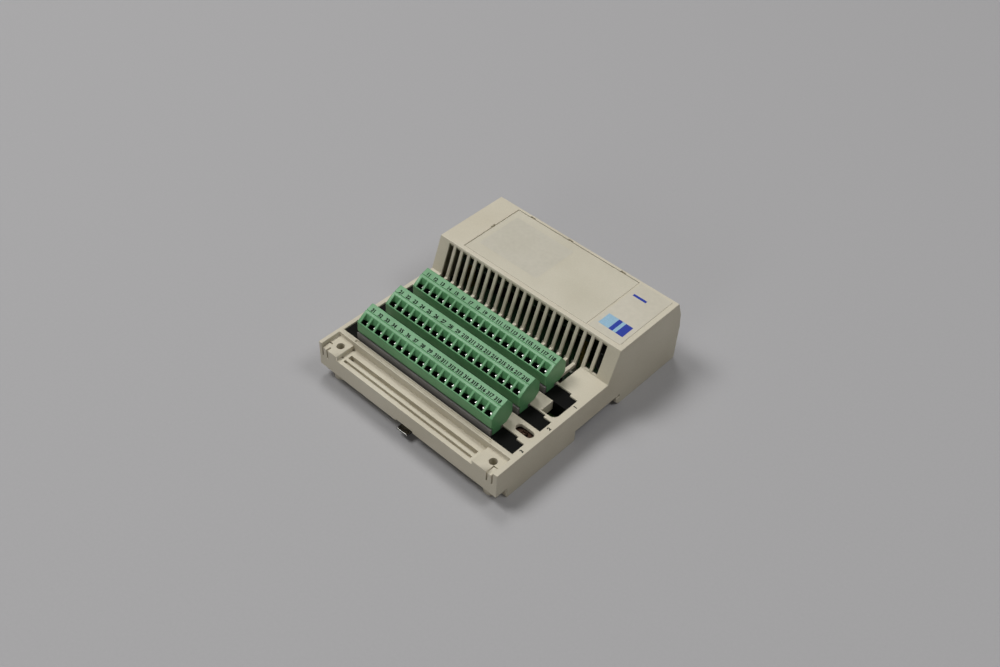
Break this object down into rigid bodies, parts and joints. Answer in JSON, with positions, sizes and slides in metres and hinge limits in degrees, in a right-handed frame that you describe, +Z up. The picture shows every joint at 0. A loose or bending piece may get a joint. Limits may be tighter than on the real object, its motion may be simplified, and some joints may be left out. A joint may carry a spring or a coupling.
{
  "type": "plc_module",
  "caption": "Input and output base module of a programmable controller: cream housing with rows of green pull-off terminal plugs, a vented block and a rail latch.",
  "frame": {"origin": "middle of the bounding box on the ground", "axes": "X along the terminal rows, Y from the front wall to the raised block, Z up"},
  "size_m": [0.125, 0.143, 0.0428],
  "materials": {
    "cream": "fine sparked texture",
    "cream_shade": "plain moulded",
    "cream_panel": "fine sparked texture",
    "label": "printed film",
    "green": "satin moulded",
    "black": "plain moulded",
    "grey": "plain moulded",
    "steel": "zinc plated sheet",
    "tin": "tin plated",
    "brass": "turned",
    "bronze": "tarnished",
    "board": "solder resist",
    "led": "clear lens",
    "sleeve": "shrunk sleeve"
  },
  "bodies": {
    "housing": {"top_cover": "cream", "base_plate": "cream_shade", "marking_label": "label", "latch_spring": "steel", "carrier_strip_1": "black", "carrier_strip_2": "black", "carrier_strip_3": "black", "header_shroud_1": "grey", "header_shroud_2": "grey", "header_shroud_3": "grey", "header_pins_1": "tin", "header_pins_2": "tin", "header_pins_3": "tin", "main_board": "board", "board_screws": "steel", "bus_board": "board", "bus_spacers": "brass", "board_connector": "black", "adapter_connector": "black", "bus_chip": "black", "crystal": "tin", "input_leds": "led", "output_leds": "led", "status_leds": "led", "optocouplers": "black", "driver_chips": "black", "dc_converter": "black", "filter_capacitors": "sleeve", "earth_strap": "bronze", "earth_screw": "bronze"},
    "panel": {"cover_panel": "cream_panel"},
    "latch": {"din_latch": "steel"},
    "plug_1": {"terminal_plug_1": "green", "clamp_springs_1": "steel", "wire_guides_1": "black", "contact_sockets_1": "tin"},
    "plug_2": {"terminal_plug_2": "green", "clamp_springs_2": "steel", "wire_guides_2": "black", "contact_sockets_2": "tin"},
    "plug_3": {"terminal_plug_3": "green", "clamp_springs_3": "steel", "wire_guides_3": "black", "contact_sockets_3": "tin"}
  },
  "joints": [
    {"name": "panel_lift", "type": "slide", "parent": "housing", "child": "panel", "axis": [0, 0, 1], "range_m": [0, 0.012]},
    {"name": "plug_1_pull", "type": "slide", "parent": "housing", "child": "plug_1", "axis": [0, 0, 1], "range_m": [0, 0.014]},
    {"name": "plug_2_pull", "type": "slide", "parent": "housing", "child": "plug_2", "axis": [0, 0, 1], "range_m": [0, 0.014]},
    {"name": "plug_3_pull", "type": "slide", "parent": "housing", "child": "plug_3", "axis": [0, 0, 1], "range_m": [0, 0.014]},
    {"name": "latch_slide", "type": "slide", "parent": "housing", "child": "latch", "axis": [0, -1, 0], "range_m": [0, 0.004], "stiffness_N_per_m": 600, "springref_m": -0.006, "deforming": ["latch_spring"]}
  ]
}
